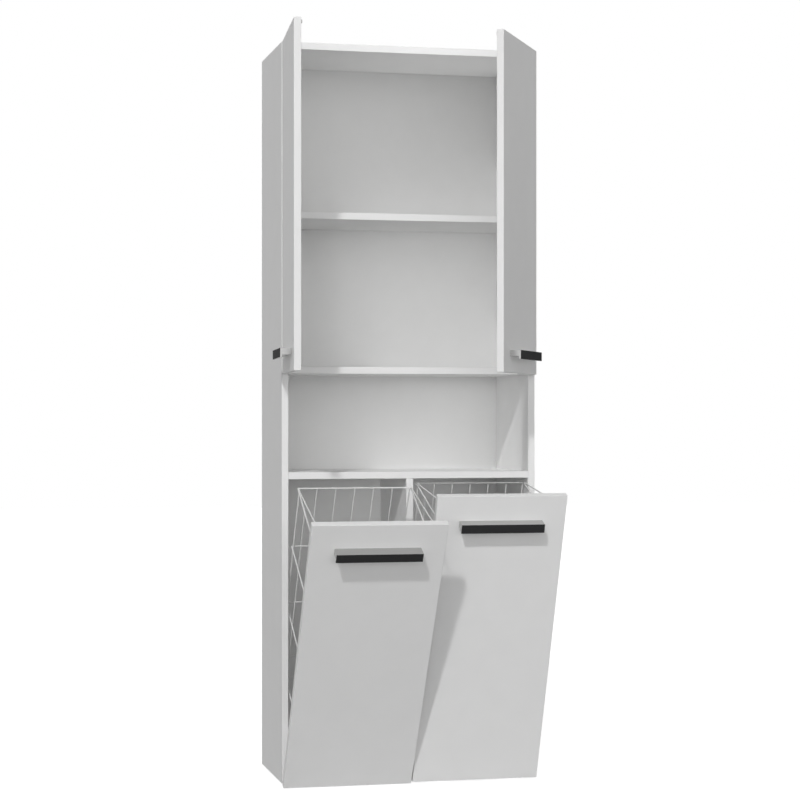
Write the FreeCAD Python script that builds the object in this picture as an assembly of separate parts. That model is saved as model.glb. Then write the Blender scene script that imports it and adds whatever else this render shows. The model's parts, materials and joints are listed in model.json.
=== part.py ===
import FreeCAD, Part
import math
import os
from FreeCAD import Vector

# Bathroom cabinet: an upper cupboard with two doors, an open niche, two tilt-out fronts with wire baskets.
# Frame: origin on the floor under the carcass's middle, X to the right, Y to the back, Z up, millimetres.

# Carcass
cabinet_width = 600.0
board = 16.0
side_depth = 278.0
back_sheet = 3.0
back_margin = 1.0
foot_height = 11.0
bay_clear = 676.0
niche_clear = 225.0
below_shelf_clear = 338.0
above_shelf_clear = 370.0
shelf_setback = 3.0
shelf_end_gap = 0.5

# Doors and tilt-out fronts
side_reveal = 1.0
middle_gap = 3.0
door_gap = 3.0
hamper_gap = 2.0
edge_round = 1.0

# Pose in which the pieces are drawn, from closed
left_door_angle = 95.1
right_door_angle = 59.3
greatest_tilt = 30.0
left_hamper_tilt = greatest_tilt
right_hamper_tilt = 20.0

# Handles
handle_length = 190.0
handle_reach = 26.0
handle_face_thickness = 1.0
handle_face_height = 20.0
handle_flange = 5.0
handle_web_height = 14.0
handle_screw_inset = 15.0
handle_screw_radius = 2.0
handle_screw_bite = 10.0
handle_screw_head_radius = 4.0
handle_screw_head_height = 2.2
handle_above_door_bottom = 30.0
handle_below_front_top = 58.0

# Door hinges
hinge_inset = 100.0
cup_radius = 17.5
cup_depth = 12.0
cup_wall = 1.0
cup_edge_distance = 3.0
cup_rim = 1.0
flange_thickness = 1.0
flange_width = 24.0
flange_length = 62.0
flange_screw_inset = 7.0
pin_edge_distance = 7.5
pin_depth = 8.0
pin_radius = 1.25
pin_end_clearance = 0.4
arm_eye_radius = 2.4
arm_thickness = 2.0
arm_width = 8.0
plate_thickness = 4.0
plate_start = 20.0
plate_length = 36.0
plate_width = 16.0
plate_wing_length = 14.0
plate_wing_span = 46.0
plate_screw_inset = 6.0
arm_screw_from_end = 8.0
arm_screw_bite = 2.5
running_clearance = 0.05

# Door bumpers
bumper_radius = 4.0
bumper_relief = 0.3
bumper_inset = 12.0

# Hinges under the tilt-out fronts
butt_spacing = 170.0
butt_length = 50.0
butt_middle_length = 20.0
butt_leaf = 1.2
butt_leaf_depth = 24.0
butt_leaf_rise = 10.0
butt_knuckle_radius = 3.0
butt_pin_radius = 1.5
butt_knuckle_clearance = 0.4
butt_knuckle_play = 0.2
butt_leaf_start = 0.6
butt_notch = 3.0
butt_screw_inset = 10.0
butt_moving_screw_rise = 5.0

# Quadrant stays
stay_radius = 130.0
stay_band = 18.0
stay_thickness = 2.0
stay_wall_gap = 2.0
stay_stud_angle = 22.0
stay_end_angle = 6.0
stay_stud_radius = 3.0
stay_slot_clearance = 0.3
stay_stud_seat = 10.0
stay_cap_radius = 6.5
stay_cap_thickness = 1.5
stay_foot_width = 18.0
stay_foot_height = 42.0
stay_foot_margin = 3.0
stay_screw_inset = 9.0

# Wire baskets
basket_side_inset = 17.5
basket_back_gap = 23.0
basket_standoff = 5.0
basket_swing_clearance = 11.3
basket_front_headroom = 8.0
basket_stay_clearance = 33.4
ring_count = 4
upright_gaps = 6
side_gaps = 3
frame_wire = 1.6
side_wire_step = 0.2
mesh_wire_step = 0.5
clip_width = 18.0
clip_wall = 1.5
clip_tongue_thickness = 3.0
clip_tongue_length = 12.0

# Fasteners
wood_screw_radius = 1.6
wood_screw_length = 12.5
wood_screw_head_radius = 3.0
wood_screw_head_height = 1.8
cam_radius = 7.5
cam_height = 12.5
cam_end_distance = 34.0
cam_edge_inset = 40.0
cam_bolt_radius = 3.0
cam_bolt_seat = 11.0
cam_bolt_into_cam = 3.0
dowel_radius = 4.0
dowel_seat = 10.0
dowel_reach = 25.0
divider_dowel_inset = 50.0
shelf_pin_radius = 2.5
shelf_pin_seat = 8.0
shelf_pin_reach = 8.0
shelf_pin_inset = 50.0
nail_radius = 0.8
nail_length = 20.0
nail_head_radius = 2.0
nail_head_height = 0.8
nail_pitch = 150.0
nail_end_inset = 40.0

# Feet
foot_top_radius = 20.0
foot_floor_radius = 17.0
foot_side_inset = 78.0
foot_leaf_clearance = 4.0
foot_back_inset = 40.0
foot_peg_radius = 4.0
foot_peg_length = 9.0

# Wall brackets
bracket_spacing = 400.0
bracket_width = 40.0
bracket_thickness = 2.0
bracket_height = 24.0
bracket_depth = 30.0
bracket_wall_hole_radius = 2.75
bracket_wall_hole_height = 14.0
bracket_screw_side_inset = 9.0
bracket_screw_front_inset = 12.0

# Cuts run this far past the faces that they open
overrun = 1.0

half_width = cabinet_width / 2
half_inside = half_width - board
front_y = -(side_depth + back_sheet) / 2
sheet_y = front_y + side_depth
back_y = sheet_y + back_sheet
base_z = foot_height
niche_floor_top = base_z + board + bay_clear + board
cupboard_floor_top = niche_floor_top + niche_clear + board
shelf_top = cupboard_floor_top + below_shelf_clear + board
cabinet_height = shelf_top + above_shelf_clear + board
door_bottom = cupboard_floor_top - board
door_top = cabinet_height
door_inner_y = front_y - door_gap
hamper_inner_y = front_y - hamper_gap
panel_span = half_width - side_reveal - middle_gap / 2
hinge_heights = (door_bottom + hinge_inset, door_top - hinge_inset)
pin_x = -half_width + side_reveal + pin_edge_distance
pin_y = door_inner_y - pin_depth
butt_y = front_y - hamper_gap / 2
butt_z = base_z - butt_knuckle_radius - butt_knuckle_clearance
arm_x = -half_inside + plate_thickness
cup_x = -half_width + side_reveal + cup_edge_distance + cup_radius
pin_offset = cup_x - pin_x + pin_radius
pin_half_length = math.sqrt(cup_radius ** 2 - pin_offset ** 2) - pin_end_clearance
side_wire = frame_wire - side_wire_step
mesh_wire = frame_wire - mesh_wire_step

x_axis = Vector(1, 0, 0)
y_axis = Vector(0, 1, 0)
z_axis = Vector(0, 0, 1)


def block(x0, x1, y0, y1, z0, z1):
    return Part.makeBox(x1 - x0, y1 - y0, z1 - z0, Vector(x0, y0, z0))


def rod(radius, start, end):
    return Part.makeCylinder(radius, (end - start).Length, start, end - start)


def fused(solids):
    return solids[0].multiFuse(solids[1:]).removeSplitter()


def cut_all(solid, tools):
    return solid.cut(Part.makeCompound(tools)) if tools else solid


def group(solids):
    return Part.makeCompound(solids)


def flipped(shape):
    return shape.mirror(Vector(0, 0, 0), x_axis)


def headed_pin(seat, direction, radius, length, head_radius, head_height):
    shank = Part.makeCylinder(radius, length, seat, direction)
    head = Part.makeCylinder(head_radius, head_height, seat, -direction)
    return shank.fuse(head)


def wood_screw(seat, direction):
    return headed_pin(seat, direction, wood_screw_radius, wood_screw_length,
                      wood_screw_head_radius, wood_screw_head_height)


def wood_bore(seat, direction):
    return Part.makeCylinder(wood_screw_radius, wood_screw_length, seat, direction)


def rounded_board(x0, x1, y0, y1, z0, z1):
    solid = block(x0, x1, y0, y1, z0, z1)
    return solid.makeFillet(edge_round, solid.Edges)


# Each node's solid or group of solids, by name
nodes = {}


# Carcass fittings that the boards are drilled for
def cam_joints():
    # Cams open upwards, and downwards on the niche floor, so that none shows from the front.
    levels = (
        ("top_panel", cabinet_height - board, True),
        ("cupboard_floor", cupboard_floor_top - board, True),
        ("niche_floor", niche_floor_top - board, False),
        ("bottom_panel", base_z, True),
    )
    places = (front_y + cam_edge_inset, sheet_y - cam_edge_inset)
    cams, bolts, dowels = [], [], []
    drilled = {name: [] for name, low, upward in levels}
    for name, low, upward in levels:
        middle = low + board / 2
        cam_seat = low + board - cam_height if upward else low
        for hand in (-1, 1):
            end = hand * half_inside
            inward = -hand
            for y in places:
                centre = end + inward * cam_end_distance
                bolt = rod(cam_bolt_radius, Vector(end + hand * cam_bolt_seat, y, middle),
                           Vector(centre + hand * (cam_radius - cam_bolt_into_cam), y, middle))
                pocket = Part.makeCylinder(cam_radius, cam_height, Vector(centre, y, cam_seat))
                cams.append(pocket.cut(bolt))
                bolts.append(bolt)
                drilled[name] += [pocket, bolt]
            dowel = rod(dowel_radius, Vector(end + hand * dowel_seat, front_y + side_depth / 2, middle),
                        Vector(end + inward * dowel_reach, front_y + side_depth / 2, middle))
            dowels.append(dowel)
            drilled[name].append(dowel)
    return cams, bolts, dowels, drilled


def divider_dowels():
    dowels = []
    for y in (front_y + divider_dowel_inset, sheet_y - divider_dowel_inset):
        low = base_z + board
        high = niche_floor_top - board
        dowels.append(rod(dowel_radius, Vector(0, y, low - dowel_seat), Vector(0, y, low + dowel_reach)))
        dowels.append(rod(dowel_radius, Vector(0, y, high - dowel_reach), Vector(0, y, high + dowel_seat)))
    return dowels


def shelf_pins():
    pins = []
    z = shelf_top - board - shelf_pin_radius
    for hand in (-1, 1):
        for y in (front_y + shelf_pin_inset, sheet_y - shelf_pin_inset):
            pins.append(rod(shelf_pin_radius, Vector(hand * (half_inside + shelf_pin_seat), y, z),
                            Vector(hand * (half_inside - shelf_pin_reach), y, z)))
    return pins


def spread(low, high, pitch):
    count = max(1, round((high - low) / pitch))
    return [low + (high - low) * step / count for step in range(count + 1)]


def back_nails():
    # Nails run up both edges of each sheet and along the boards that the sheets cover.
    split = cupboard_floor_top - board / 2
    edge_x = half_width - board / 2
    bottom_rail = base_z + board / 2
    niche_rail = niche_floor_top - board / 2
    top_rail = cabinet_height - board / 2
    spots = []
    for low, high in ((bottom_rail, split), (split, top_rail)):
        heights = spread(low + nail_end_inset, high - nail_end_inset, nail_pitch)
        spots += [(hand * edge_x, z) for hand in (-1, 1) for z in heights]
    reach = half_inside - nail_end_inset
    for z in (bottom_rail, niche_rail, top_rail):
        spots += [(x, z) for x in spread(-reach, reach, nail_pitch)]
    seat_y = back_y - nail_head_height
    return [headed_pin(Vector(x, seat_y, z), -y_axis, nail_radius, nail_length,
                       nail_head_radius, nail_head_height) for x, z in spots]


def hinge_hardware():
    # Arms and plates on the left side; the right side is the mirror image.
    arms, pins, plates, screws, bores = [], [], [], [], []
    plate_y = front_y + plate_start
    for z in hinge_heights:
        low, high = z - arm_width / 2, z + arm_width / 2
        pin = rod(pin_radius, Vector(pin_x, pin_y, z - pin_half_length),
                  Vector(pin_x, pin_y, z + pin_half_length))
        eye = rod(arm_eye_radius, Vector(pin_x, pin_y, low), Vector(pin_x, pin_y, high))
        crank_y = pin_y - arm_thickness / 2
        crank = block(pin_x, arm_x + arm_thickness, crank_y, crank_y + arm_thickness, low, high)
        leg = block(arm_x, arm_x + arm_thickness, crank_y, plate_y + plate_length, low, high)
        arm = fused([eye, crank, leg]).cut(pin)
        wing_y = plate_y + plate_length / 2
        plate = fused([
            block(-half_inside, arm_x, plate_y, plate_y + plate_length,
                  z - plate_width / 2, z + plate_width / 2),
            block(-half_inside, arm_x, wing_y - plate_wing_length / 2, wing_y + plate_wing_length / 2,
                  z - plate_wing_span / 2, z + plate_wing_span / 2),
        ])
        arm_seat = Vector(arm_x + arm_thickness, plate_y + plate_length - arm_screw_from_end, z)
        arm_bite = arm_thickness + arm_screw_bite
        arm_screw = headed_pin(arm_seat, -x_axis, wood_screw_radius, arm_bite,
                               wood_screw_head_radius, wood_screw_head_height)
        arm_bore = Part.makeCylinder(wood_screw_radius, arm_bite, arm_seat, -x_axis)
        screw_rise = plate_wing_span / 2 - plate_screw_inset
        seats = [Vector(arm_x, wing_y, z + hand * screw_rise) for hand in (-1, 1)]
        plate_bores = [wood_bore(seat, -x_axis) for seat in seats]
        arms.append(arm.cut(arm_bore))
        plates.append(cut_all(plate, plate_bores + [arm_bore]))
        pins.append(pin)
        screws += [arm_screw] + [wood_screw(seat, -x_axis) for seat in seats]
        bores += plate_bores
    return arms, pins, plates, screws, bores


def foot_places():
    x = half_width - foot_side_inset
    rows = (front_y + butt_leaf_depth + foot_leaf_clearance + foot_top_radius, back_y - foot_back_inset)
    return [(hand * x, y) for hand in (-1, 1) for y in rows] + [(0, 0)]


def feet():
    bodies, pegs = [], []
    for x, y in foot_places():
        cone = Part.makeCone(foot_floor_radius, foot_top_radius, foot_height, Vector(x, y, 0))
        peg = Part.makeCylinder(foot_peg_radius, foot_peg_length, Vector(x, y, foot_height))
        bodies.append(cone.fuse(peg))
        pegs.append(peg)
    return bodies, pegs


def wall_brackets():
    brackets, screws, bores = [], [], []
    top = cabinet_height + bracket_thickness
    for hand in (-1, 1):
        x = hand * bracket_spacing / 2
        left, right = x - bracket_width / 2, x + bracket_width / 2
        flat = block(left, right, back_y - bracket_depth, back_y, cabinet_height, top)
        upright = block(left, right, back_y - bracket_thickness, back_y,
                        cabinet_height, cabinet_height + bracket_height)
        wall_z = cabinet_height + bracket_wall_hole_height
        hole = rod(bracket_wall_hole_radius, Vector(x, back_y - bracket_thickness - overrun, wall_z),
                   Vector(x, back_y + overrun, wall_z))
        screw_y = back_y - bracket_depth + bracket_screw_front_inset
        seats = [Vector(screw_x, screw_y, top)
                 for screw_x in (left + bracket_screw_side_inset, right - bracket_screw_side_inset)]
        drill = [wood_bore(seat, -z_axis) for seat in seats]
        brackets.append(cut_all(fused([flat, upright]), drill + [hole]))
        screws += [wood_screw(seat, -z_axis) for seat in seats]
        bores += drill
    return brackets, screws, bores


# Tilt-out fronts: the same set of pieces for each bay
def butt_hinges(centre_x):
    fixed, moving, pins = [], [], []
    fixed_screws, fixed_bores, moving_screws, moving_bores = [], [], [], []
    half = butt_length / 2
    half_middle = butt_middle_length / 2
    half_gap = half_middle + butt_knuckle_play
    leaf_low, leaf_high = base_z - butt_leaf, base_z
    leaf_back = front_y + butt_leaf_depth
    leaf_y = hamper_inner_y + butt_leaf
    for hand in (-1, 1):
        x = centre_x + hand * butt_spacing / 2
        pin = rod(butt_pin_radius, Vector(x - half, butt_y, butt_z), Vector(x + half, butt_y, butt_z))
        pins.append(pin)
        screw_places = (x - half + butt_screw_inset, x + half - butt_screw_inset)

        pieces = [block(x - half, x + half, front_y + butt_leaf_start, leaf_back, leaf_low, leaf_high)]
        for x0, x1 in ((x - half, x - half_gap), (x + half_gap, x + half)):
            pieces.append(block(x0, x1, butt_y, front_y + butt_leaf_start + overrun, leaf_low, leaf_high))
            pieces.append(rod(butt_knuckle_radius, Vector(x0, butt_y, butt_z), Vector(x1, butt_y, butt_z)))
        notch = block(x - half_gap, x + half_gap, butt_y - overrun, front_y + butt_notch,
                      leaf_low - overrun, leaf_high + overrun)
        seats = [Vector(screw_x, leaf_back - butt_screw_inset, leaf_low) for screw_x in screw_places]
        drill = [wood_bore(seat, z_axis) for seat in seats]
        fixed.append(cut_all(fused(pieces), [notch, pin] + drill))
        fixed_screws += [wood_screw(seat, z_axis) for seat in seats]
        fixed_bores += drill

        leaf = block(x - half, x + half, hamper_inner_y, leaf_y, base_z + butt_leaf,
                     base_z + board + butt_leaf_rise)
        tab = block(x - half_middle, x + half_middle, hamper_inner_y, leaf_y, butt_z,
                    base_z + butt_leaf + overrun)
        knuckle = rod(butt_knuckle_radius, Vector(x - half_middle, butt_y, butt_z),
                      Vector(x + half_middle, butt_y, butt_z))
        bore = rod(butt_pin_radius + running_clearance, Vector(x - half, butt_y, butt_z),
                   Vector(x + half, butt_y, butt_z))
        seats = [Vector(screw_x, leaf_y, base_z + board + butt_moving_screw_rise) for screw_x in screw_places]
        drill = [wood_bore(seat, -y_axis) for seat in seats]
        moving.append(cut_all(fused([leaf, tab, knuckle]), [bore] + drill))
        moving_screws += [wood_screw(seat, -y_axis) for seat in seats]
        moving_bores += drill
    return fixed, moving, pins, fixed_screws, fixed_bores, moving_screws, moving_bores


def around_hinge(x, radius, angle):
    # A point at this angle behind the upright, seen from the hinge axis of the closed front
    turn = math.radians(angle)
    return Vector(x, butt_y + radius * math.sin(turn), butt_z + radius * math.cos(turn))


def arc_band(x0, x1, low_radius, high_radius, start, end):
    middle = (start + end) / 2
    outline = Part.Wire([
        Part.Arc(*[around_hinge(x0, low_radius, a) for a in (start, middle, end)]).toShape(),
        Part.LineSegment(around_hinge(x0, low_radius, end), around_hinge(x0, high_radius, end)).toShape(),
        Part.Arc(*[around_hinge(x0, high_radius, a) for a in (end, middle, start)]).toShape(),
        Part.LineSegment(around_hinge(x0, high_radius, start), around_hinge(x0, low_radius, start)).toShape(),
    ])
    return Part.Face(outline).extrude(Vector(x1 - x0, 0, 0))


def quadrant_stay(wall_x):
    near, far = wall_x + stay_wall_gap, wall_x + stay_wall_gap + stay_thickness
    slot_half = stay_stud_radius + stay_slot_clearance
    low, high = stay_radius - stay_band / 2, stay_radius + stay_band / 2
    slot_end = stay_stud_angle + greatest_tilt
    band = arc_band(near, far, low, high, 0, slot_end + stay_end_angle)
    slot = [arc_band(near - overrun, far + overrun, stay_radius - slot_half, stay_radius + slot_half,
                     stay_stud_angle, slot_end)]
    slot += [rod(slot_half, around_hinge(near - overrun, stay_radius, angle),
                 around_hinge(far + overrun, stay_radius, angle)) for angle in (stay_stud_angle, slot_end)]
    foot_z1 = butt_z + high + stay_foot_margin
    foot_z0 = foot_z1 - stay_foot_height
    foot_y = hamper_inner_y + stay_thickness
    foot = block(near, near + stay_foot_width, hamper_inner_y, foot_y, foot_z0, foot_z1)
    root = block(near, far, hamper_inner_y, butt_y + stay_thickness, foot_z0, foot_z1)
    screw_x = (far + near + stay_foot_width) / 2
    seats = [Vector(screw_x, foot_y, z) for z in (foot_z0 + stay_screw_inset, foot_z1 - stay_screw_inset)]
    drill = [wood_bore(seat, -y_axis) for seat in seats]
    stay = cut_all(fused([cut_all(band, slot), foot, root]), drill)
    cap_x = far + stay_slot_clearance
    stud = rod(stay_stud_radius, around_hinge(wall_x - stay_stud_seat, stay_radius, stay_stud_angle),
               around_hinge(cap_x, stay_radius, stay_stud_angle))
    cap = rod(stay_cap_radius, around_hinge(cap_x, stay_radius, stay_stud_angle),
              around_hinge(cap_x + stay_cap_thickness, stay_radius, stay_stud_angle))
    return stay, stud.fuse(cap), [wood_screw(seat, -y_axis) for seat in seats], drill


def basket(centre_x):
    half = panel_span / 2 - basket_side_inset - frame_wire
    near_y = hamper_inner_y + basket_standoff
    far_y = sheet_y - basket_back_gap
    bay_top = niche_floor_top - board
    top_z = bay_top - basket_front_headroom
    # The back rim is as high as its swing under the niche floor allows.
    swing = bay_top - butt_z - basket_swing_clearance
    back_z = butt_z + math.sqrt(swing ** 2 - (far_y - butt_y) ** 2)
    floor_z = butt_z + stay_radius + stay_band / 2 + basket_stay_clearance
    levels = [back_z - (back_z - floor_z) * ring / (ring_count - 1) for ring in range(ring_count)]
    uprights = [centre_x - half + 2 * half * step / upright_gaps for step in range(upright_gaps + 1)]

    def upright_grille(y, rails):
        wires = [rod(frame_wire, Vector(uprights[0], y, z), Vector(uprights[-1], y, z)) for z in rails]
        for x in uprights:
            radius = frame_wire if x in (uprights[0], uprights[-1]) else mesh_wire
            wires.append(rod(radius, Vector(x, y, rails[-1]), Vector(x, y, rails[0])))
        for x in (uprights[0], uprights[-1]):
            wires += [Part.makeSphere(frame_wire, Vector(x, y, z)) for z in (rails[0], rails[-1])]
        return fused(wires)

    back = upright_grille(far_y, levels)
    front = upright_grille(near_y, [top_z] + levels)
    depths = [near_y + (far_y - near_y) * step / side_gaps for step in range(1, side_gaps)]
    sides = []
    for x in (uprights[0], uprights[-1]):
        wires = [rod(side_wire, Vector(x, near_y, z), Vector(x, far_y, z)) for z in levels]
        wires.append(rod(side_wire, Vector(x, far_y, levels[0]), Vector(x, near_y, top_z)))
        wires += [rod(mesh_wire, Vector(x, y, levels[-1]), Vector(x, y, levels[0])) for y in depths]
        sides.append(fused(wires).cut(back).cut(front))
    floor_wires = [rod(mesh_wire, Vector(x, near_y, levels[-1]), Vector(x, far_y, levels[-1]))
                   for x in uprights[1:-1]]
    floor_wires += [rod(mesh_wire, Vector(uprights[0], y, levels[-1]), Vector(uprights[-1], y, levels[-1]))
                    for y in depths]
    base = cut_all(fused(floor_wires), [back, front] + sides)

    clips, screws, bores = [], [], []
    clip_y = hamper_inner_y + basket_standoff + frame_wire + clip_wall
    tongue_y = hamper_inner_y + clip_tongue_thickness
    saddle_half = frame_wire + clip_wall
    for z in (top_z, levels[-1]):
        for hand in (-1, 1):
            x = (uprights[1] + uprights[2]) / 2 if hand < 0 else (uprights[-2] + uprights[-3]) / 2
            left, right = x - clip_width / 2, x + clip_width / 2
            saddle = block(left, right, hamper_inner_y, clip_y, z - saddle_half, z + saddle_half)
            tongue = block(left, right, hamper_inner_y, tongue_y, z - saddle_half - clip_tongue_length, z)
            wire = rod(frame_wire, Vector(left - overrun, near_y, z), Vector(right + overrun, near_y, z))
            seat = Vector(x, tongue_y, z - saddle_half - clip_tongue_length / 2)
            drill = wood_bore(seat, -y_axis)
            clips.append(cut_all(fused([saddle, tongue]), [wire, drill]))
            screws.append(wood_screw(seat, -y_axis))
            bores.append(drill)
    return back, front, sides, base, clips, screws, bores


def handle(centre_x, outer_y, face_bottom):
    left, right = centre_x - handle_length / 2, centre_x + handle_length / 2
    face_y = outer_y - handle_reach
    body_y = face_y + handle_face_thickness
    face_top = face_bottom + handle_face_height
    face = block(left, right, face_y, body_y, face_bottom, face_top)
    flange = block(left, right, body_y, body_y + handle_flange, face_bottom, face_top)
    web = block(left, right, body_y, outer_y, face_top - handle_web_height, face_top)
    inner_y = outer_y + board
    screw_z = face_top - handle_web_height / 2
    length = board + handle_screw_bite
    seats = [Vector(x, inner_y, screw_z) for x in (left + handle_screw_inset, right - handle_screw_inset)]
    drill = [Part.makeCylinder(handle_screw_radius, length, seat, -y_axis) for seat in seats]
    screws = [headed_pin(seat, -y_axis, handle_screw_radius, length, handle_screw_head_radius,
                         handle_screw_head_height) for seat in seats]
    return cut_all(fused([flange, web]), drill), face, screws, drill


def door():
    # The left door, closed
    left = -half_width + side_reveal
    right = left + panel_span
    outer_y = door_inner_y - board
    body, face, screws, bores = handle((left + right) / 2, outer_y, door_bottom + handle_above_door_bottom)
    cups = []
    for z in hinge_heights:
        mouth = Vector(cup_x, door_inner_y, z)
        shell = Part.makeCylinder(cup_radius, cup_depth, mouth, -y_axis)
        rim = Part.makeCylinder(cup_radius + cup_rim, flange_thickness, mouth, y_axis)
        wings = block(cup_x - flange_width / 2, cup_x + flange_width / 2, door_inner_y,
                      door_inner_y + flange_thickness, z - flange_length / 2, z + flange_length / 2)
        hollow = rod(cup_radius - cup_wall, Vector(cup_x, door_inner_y + flange_thickness + overrun, z),
                     Vector(cup_x, door_inner_y - cup_depth + cup_wall, z))
        pin_hole = rod(pin_radius + running_clearance, Vector(pin_x, pin_y, z - cup_radius),
                       Vector(pin_x, pin_y, z + cup_radius))
        screw_rise = flange_length / 2 - flange_screw_inset
        seats = [Vector(cup_x, door_inner_y + flange_thickness, z + side * screw_rise) for side in (-1, 1)]
        drill = [wood_bore(seat, -y_axis) for seat in seats]
        cups.append(cut_all(fused([shell, rim, wings]), [hollow, pin_hole] + drill))
        screws += [wood_screw(seat, -y_axis) for seat in seats]
        bores += drill + [shell]
    panel = cut_all(rounded_board(left, right, outer_y, door_inner_y, door_bottom, door_top), bores)
    bumper_x = right - bumper_inset
    bumper_height = door_gap - bumper_relief
    bumpers = [Part.makeCylinder(bumper_radius, bumper_height, Vector(bumper_x, door_inner_y, z), y_axis)
               for z in (door_bottom + board / 2, door_top - board / 2)]
    return {
        "panel": panel,
        "handle": body,
        "handle_face": face,
        "screws": group(screws),
        "hinge_cups": group(cups),
        "bumpers": group(bumpers),
    }


def hamper(left, wall_x):
    # One closed tilt-out front with its basket; left is its left edge and wall_x the bay's left wall
    right = left + panel_span
    centre_x = (left + right) / 2
    outer_y = hamper_inner_y - board
    face_bottom = niche_floor_top - handle_below_front_top - handle_face_height
    body, face, screws, bores = handle(centre_x, outer_y, face_bottom)
    fixed, moving, pins, fixed_screws, fixed_bores, moving_screws, moving_bores = butt_hinges(centre_x)
    stay, stud, stay_screws, stay_bores = quadrant_stay(wall_x)
    back, front, sides, base, clips, clip_screws, clip_bores = basket(centre_x)
    bores = bores + moving_bores + stay_bores + clip_bores
    moved = {
        "front": cut_all(rounded_board(left, right, outer_y, hamper_inner_y, base_z, niche_floor_top), bores),
        "handle": body,
        "handle_face": face,
        "screws": group(screws + moving_screws + stay_screws + clip_screws),
        "hinge_leaves": group(moving),
        "stay": stay,
        "basket_back": back,
        "basket_sides": group(sides),
        "basket_front": front,
        "basket_base": base,
        "basket_clips": group(clips),
    }
    return moved, fixed, pins, stud, fixed_screws, fixed_bores


# Doors, opened to the drawn pose
left_pin = Vector(pin_x, pin_y, 0)
right_pin = Vector(-pin_x, pin_y, 0)
for name, shape in door().items():
    opened = shape.copy()
    opened.rotate(left_pin, z_axis, -left_door_angle)
    nodes["left_door_" + name] = opened
    opened = flipped(shape)
    opened.rotate(right_pin, z_axis, right_door_angle)
    nodes["right_door_" + name] = opened

# Tilt-out fronts, tilted to the drawn pose
hamper_axis = Vector(0, butt_y, butt_z)
fixed_leaves, butt_pins, studs, hardware_screws, bottom_bores = [], [], [], [], []
hampers = (
    ("left_hamper_", -half_width + side_reveal, -half_inside, left_hamper_tilt),
    ("right_hamper_", middle_gap / 2, board / 2, right_hamper_tilt),
)
for prefix, left, wall_x, tilt in hampers:
    moved, fixed, pins, stud, screws, bores = hamper(left, wall_x)
    for name, shape in moved.items():
        tilted = shape.copy()
        tilted.rotate(hamper_axis, x_axis, tilt)
        nodes[prefix + name] = tilted
    fixed_leaves += fixed
    butt_pins += pins
    studs.append(stud)
    hardware_screws += screws
    bottom_bores += bores

# Fittings of the carcass
cams, cam_bolts, end_dowels, drilled = cam_joints()
upright_dowels = divider_dowels()
pins = shelf_pins()
nails = back_nails()
arms, hinge_pins, plates, hinge_screws, hinge_bores = hinge_hardware()
foot_bodies, foot_pegs = feet()
brackets, bracket_screws, bracket_bores = wall_brackets()
hardware_screws += hinge_screws + [flipped(screw) for screw in hinge_screws] + bracket_screws

nodes["shelf_pins"] = group(pins)
nodes["dowels"] = group(end_dowels + upright_dowels)
nodes["cam_locks"] = group(cams)
nodes["cam_bolts"] = group(cam_bolts)
nodes["back_nails"] = group(nails)
nodes["hardware_screws"] = group(hardware_screws)
nodes["feet"] = group(foot_bodies)
nodes["wall_brackets"] = group(brackets)
nodes["hinge_arms"] = group(arms + [flipped(arm) for arm in arms])
nodes["hinge_pins"] = group(hinge_pins + [flipped(pin) for pin in hinge_pins])
nodes["hinge_plates"] = group(plates + [flipped(plate) for plate in plates])
nodes["hamper_hinge_leaves"] = group(fixed_leaves)
nodes["hamper_hinge_pins"] = group(butt_pins)
nodes["stay_studs"] = group(studs)

# Boards, drilled for what they hold
into_sides = cam_bolts + end_dowels + pins + nails
side = block(-half_width, -half_inside, front_y, sheet_y, base_z, cabinet_height)
nodes["left_side_panel"] = cut_all(side, into_sides + hinge_bores + [studs[0]])
nodes["right_side_panel"] = cut_all(flipped(side), into_sides + [flipped(bore) for bore in hinge_bores])


def level_board(top, drills):
    solid = block(-half_inside, half_inside, front_y, sheet_y, top - board, top)
    return cut_all(solid, drills)


nodes["top_panel"] = level_board(cabinet_height, drilled["top_panel"] + nails + bracket_bores)
nodes["cupboard_floor"] = level_board(cupboard_floor_top, drilled["cupboard_floor"] + nails)
nodes["niche_floor"] = level_board(niche_floor_top, drilled["niche_floor"] + upright_dowels + nails)
nodes["bottom_panel"] = level_board(base_z + board, drilled["bottom_panel"] + upright_dowels + nails
                                    + bottom_bores + foot_pegs)
shelf_end = half_inside - shelf_end_gap
nodes["cupboard_shelf"] = block(-shelf_end, shelf_end, front_y + shelf_setback, sheet_y - shelf_end_gap,
                                shelf_top - board, shelf_top)
divider = block(-board / 2, board / 2, front_y, sheet_y, base_z + board, niche_floor_top - board)
nodes["bay_divider"] = cut_all(divider, upright_dowels + [studs[1]])

sheet_edge = half_width - back_margin
sheet_split = cupboard_floor_top - board / 2
back_sheets = (
    ("upper_back_sheet", sheet_split + back_margin / 2, cabinet_height - back_margin),
    ("lower_back_sheet", base_z + back_margin, sheet_split - back_margin / 2),
)
for name, low, high in back_sheets:
    nodes[name] = cut_all(block(-sheet_edge, sheet_edge, sheet_y, back_y, low, high), nails)

os.makedirs("parts", exist_ok=True)
for name, shape in nodes.items():
    shape.exportStep("parts/" + name + ".step")
    print(name, len(shape.Solids), round(shape.Volume), shape.isValid())
print(len(nodes), "nodes")
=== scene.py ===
import bmesh
import bpy
import json
import math
from mathutils import Matrix, Vector


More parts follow.
